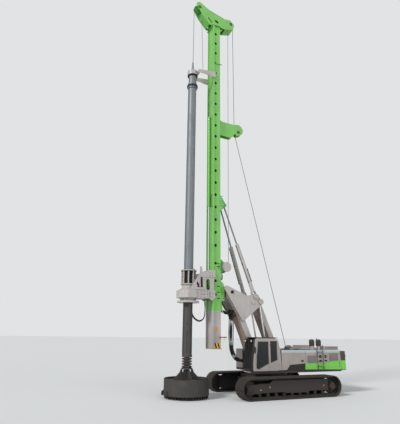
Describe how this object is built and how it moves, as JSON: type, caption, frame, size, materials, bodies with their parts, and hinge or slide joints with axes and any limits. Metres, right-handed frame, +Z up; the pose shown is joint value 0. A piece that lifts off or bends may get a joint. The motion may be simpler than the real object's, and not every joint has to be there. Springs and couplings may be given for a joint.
{
  "type": "rotary piling rig",
  "caption": "Crawler drilling rig with slewing upper carriage, cab, parallelogram boom, tall green mast, rotary drive, kelly bar and drilling bucket.",
  "frame": {"origin": "on the ground under the slewing axis, between the tracks", "axes": "+X forward towards the drilling tool, +Y to the machine's left (cab side), +Z up"},
  "size_m": [10.585, 4.4, 24.93],
  "materials": {
    "dark_paint": "satin",
    "light_paint": "satin",
    "green_paint": "gloss",
    "track_steel": "matt",
    "bare_steel": "satin",
    "chrome_rod": "polished",
    "kelly_steel": "satin",
    "bucket_steel": "matt",
    "glass": "clear",
    "seat_fabric": "matt",
    "black_paint": "satin"
  },
  "bodies": {
    "undercarriage": {"car_body": "dark_paint", "track_frames": "dark_paint", "left_track": "track_steel", "right_track": "track_steel", "track_wheels": "track_steel", "slew_ring": "bare_steel"},
    "upper": {"platform": "dark_paint", "counterweight": "dark_paint", "engine_block": "bare_steel", "engine_hood": "light_paint", "left_housing": "light_paint", "right_housing": "light_paint", "cab_shell": "light_paint", "cab_glass": "glass", "cab_seat": "seat_fabric", "guard_rails": "black_paint"},
    "left_door": {"left_door": "light_paint"},
    "right_door": {"right_door": "light_paint"},
    "cab_door": {"cab_door": "light_paint"},
    "winch_drum": {"winch_drum": "bare_steel"},
    "boom": {"boom": "light_paint"},
    "rear_link": {"rear_link": "light_paint"},
    "luff_barrels": {"luff_barrels": "light_paint"},
    "luff_rods": {"luff_rods": "chrome_rod"},
    "triangle": {"triangle_frame": "light_paint"},
    "mast_cross": {"mast_cross": "bare_steel"},
    "mast_yokes": {"mast_yokes": "bare_steel"},
    "left_mast_barrel": {"left_mast_barrel": "light_paint"},
    "right_mast_barrel": {"right_mast_barrel": "light_paint"},
    "left_mast_rod": {"left_mast_rod": "chrome_rod"},
    "right_mast_rod": {"right_mast_rod": "chrome_rod"},
    "mast": {"lower_mast": "light_paint", "main_mast": "green_paint", "mast_head": "green_paint", "head_sheaves": "bare_steel", "crowd_cylinder": "light_paint"},
    "aux_drum": {"aux_drum": "bare_steel"},
    "carriage": {"carriage": "light_paint", "crowd_rod": "chrome_rod", "rotary_drive": "light_paint"},
    "drive_sleeve": {"drive_sleeve": "bare_steel"},
    "kelly_guide": {"kelly_guide": "light_paint"},
    "kelly": {"kelly_bar": "kelly_steel", "bucket": "bucket_steel"},
    "bucket_door": {"bucket_door": "bucket_steel"}
  },
  "joints": [
    {"name": "slew", "type": "hinge", "parent": "undercarriage", "child": "upper", "pos_m": [0, 0, 1.2], "axis": [0, 0, 1], "continuous": true},
    {"name": "left_door_hinge", "type": "hinge", "parent": "upper", "child": "left_door", "pos_m": [-3.68, 1.516, 1.84], "axis": [0, 0, 1], "range_deg": [0, 110]},
    {"name": "right_door_hinge", "type": "hinge", "parent": "upper", "child": "right_door", "pos_m": [-3.68, -1.516, 1.84], "axis": [0, 0, -1], "range_deg": [0, 110]},
    {"name": "cab_door_hinge", "type": "hinge", "parent": "upper", "child": "cab_door", "pos_m": [1.04, 1.516, 2.1], "axis": [0, 0, 1], "range_deg": [0, 110]},
    {"name": "winch_spin", "type": "hinge", "parent": "upper", "child": "winch_drum", "pos_m": [-1.53, 0, 2.13], "axis": [0, 1, 0], "continuous": true},
    {"name": "boom_luff", "type": "hinge", "parent": "upper", "child": "boom", "pos_m": [1.02, 0, 1.6], "axis": [0, 1, 0], "range_deg": [-16, 12]},
    {"name": "link_swing", "type": "hinge", "parent": "upper", "child": "rear_link", "pos_m": [-0.1, 0, 2.45], "axis": [0, 1, 0], "range_deg": [-16.1, 12.1]},
    {"name": "luff_barrel_swing", "type": "hinge", "parent": "upper", "child": "luff_barrels", "pos_m": [0.4, 0, 1.42], "axis": [0, 1, 0], "range_deg": [-12, 9]},
    {"name": "luff_rod_slide", "type": "slide", "parent": "luff_barrels", "child": "luff_rods", "axis": [0.1552, 0, 0.9879], "range_m": [-0.135, 0.178]},
    {"name": "triangle_level", "type": "hinge", "parent": "boom", "child": "triangle", "pos_m": [2.07, 0, 4.07], "axis": [0, 1, 0], "range_deg": [-12.1, 16.1]},
    {"name": "mast_tilt", "type": "hinge", "parent": "triangle", "child": "mast_cross", "pos_m": [2.8, 0, 5.37], "axis": [0, 1, 0], "range_deg": [-15, 5]},
    {"name": "mast_side_tilt", "type": "hinge", "parent": "mast_cross", "child": "mast", "pos_m": [2.8, 0, 5.37], "axis": [1, 0, 0], "range_deg": [-4, 4]},
    {"name": "mast_yoke_swing", "type": "hinge", "parent": "triangle", "child": "mast_yokes", "pos_m": [1.27, 0, 5.2], "axis": [0, 1, 0], "range_deg": [-13.7, 4.7]},
    {"name": "left_barrel_lean", "type": "hinge", "parent": "mast_yokes", "child": "left_mast_barrel", "pos_m": [1.27, 0.555, 5.2], "axis": [0.9474, 0, -0.32], "range_deg": [-3.8, 3.8]},
    {"name": "right_barrel_lean", "type": "hinge", "parent": "mast_yokes", "child": "right_mast_barrel", "pos_m": [1.27, -0.555, 5.2], "axis": [0.9474, 0, -0.32], "range_deg": [-3.8, 3.8]},
    {"name": "left_mast_rod_slide", "type": "slide", "parent": "left_mast_barrel", "child": "left_mast_rod", "axis": [0.3194, -0.058, 0.9458], "range_m": [-0.385, 0.13]},
    {"name": "right_mast_rod_slide", "type": "slide", "parent": "right_mast_barrel", "child": "right_mast_rod", "axis": [0.3194, 0.058, 0.9458], "range_m": [-0.385, 0.13]},
    {"name": "aux_spin", "type": "hinge", "parent": "mast", "child": "aux_drum", "pos_m": [2.9, 0, 6.83], "axis": [0, 1, 0], "continuous": true},
    {"name": "crowd", "type": "slide", "parent": "mast", "child": "carriage", "axis": [0, 0, -1], "range_m": [-3.5, 1.9]},
    {"name": "sleeve_spin", "type": "hinge", "parent": "carriage", "child": "drive_sleeve", "pos_m": [5.14, 0, 4.8], "axis": [0, 0, 1], "continuous": true},
    {"name": "hoist", "type": "slide", "parent": "mast", "child": "kelly_guide", "axis": [0, 0, -1], "range_m": [-2.8, 0]},
    {"name": "kelly_spin", "type": "hinge", "parent": "kelly_guide", "child": "kelly", "pos_m": [5.14, 0, 19.1], "axis": [0, 0, 1], "continuous": true},
    {"name": "bucket_door_hinge", "type": "hinge", "parent": "kelly", "child": "bucket_door", "pos_m": [6.34, 0, 0.19], "axis": [0, 1, 0], "range_deg": [-70, 0]}
  ],
  "couplings": [
    {"joint": "link_swing", "follows": "boom_luff", "ratio": 1},
    {"joint": "luff_barrel_swing", "follows": "boom_luff", "ratio": 0.7313},
    {"joint": "luff_rod_slide", "follows": "boom_luff", "m_per_rad": -0.6171},
    {"joint": "triangle_level", "follows": "boom_luff", "ratio": -1},
    {"joint": "mast_yoke_swing", "follows": "mast_tilt", "ratio": 0.9034},
    {"joint": "left_barrel_lean", "follows": "mast_side_tilt", "ratio": 0.9155},
    {"joint": "right_barrel_lean", "follows": "mast_side_tilt", "ratio": 0.9155},
    {"joint": "left_mast_rod_slide", "follows": "mast_tilt", "m_per_rad": 1.44},
    {"joint": "right_mast_rod_slide", "follows": "mast_tilt", "m_per_rad": 1.44},
    {"joint": "sleeve_spin", "follows": "kelly_spin", "ratio": 1}
  ]
}
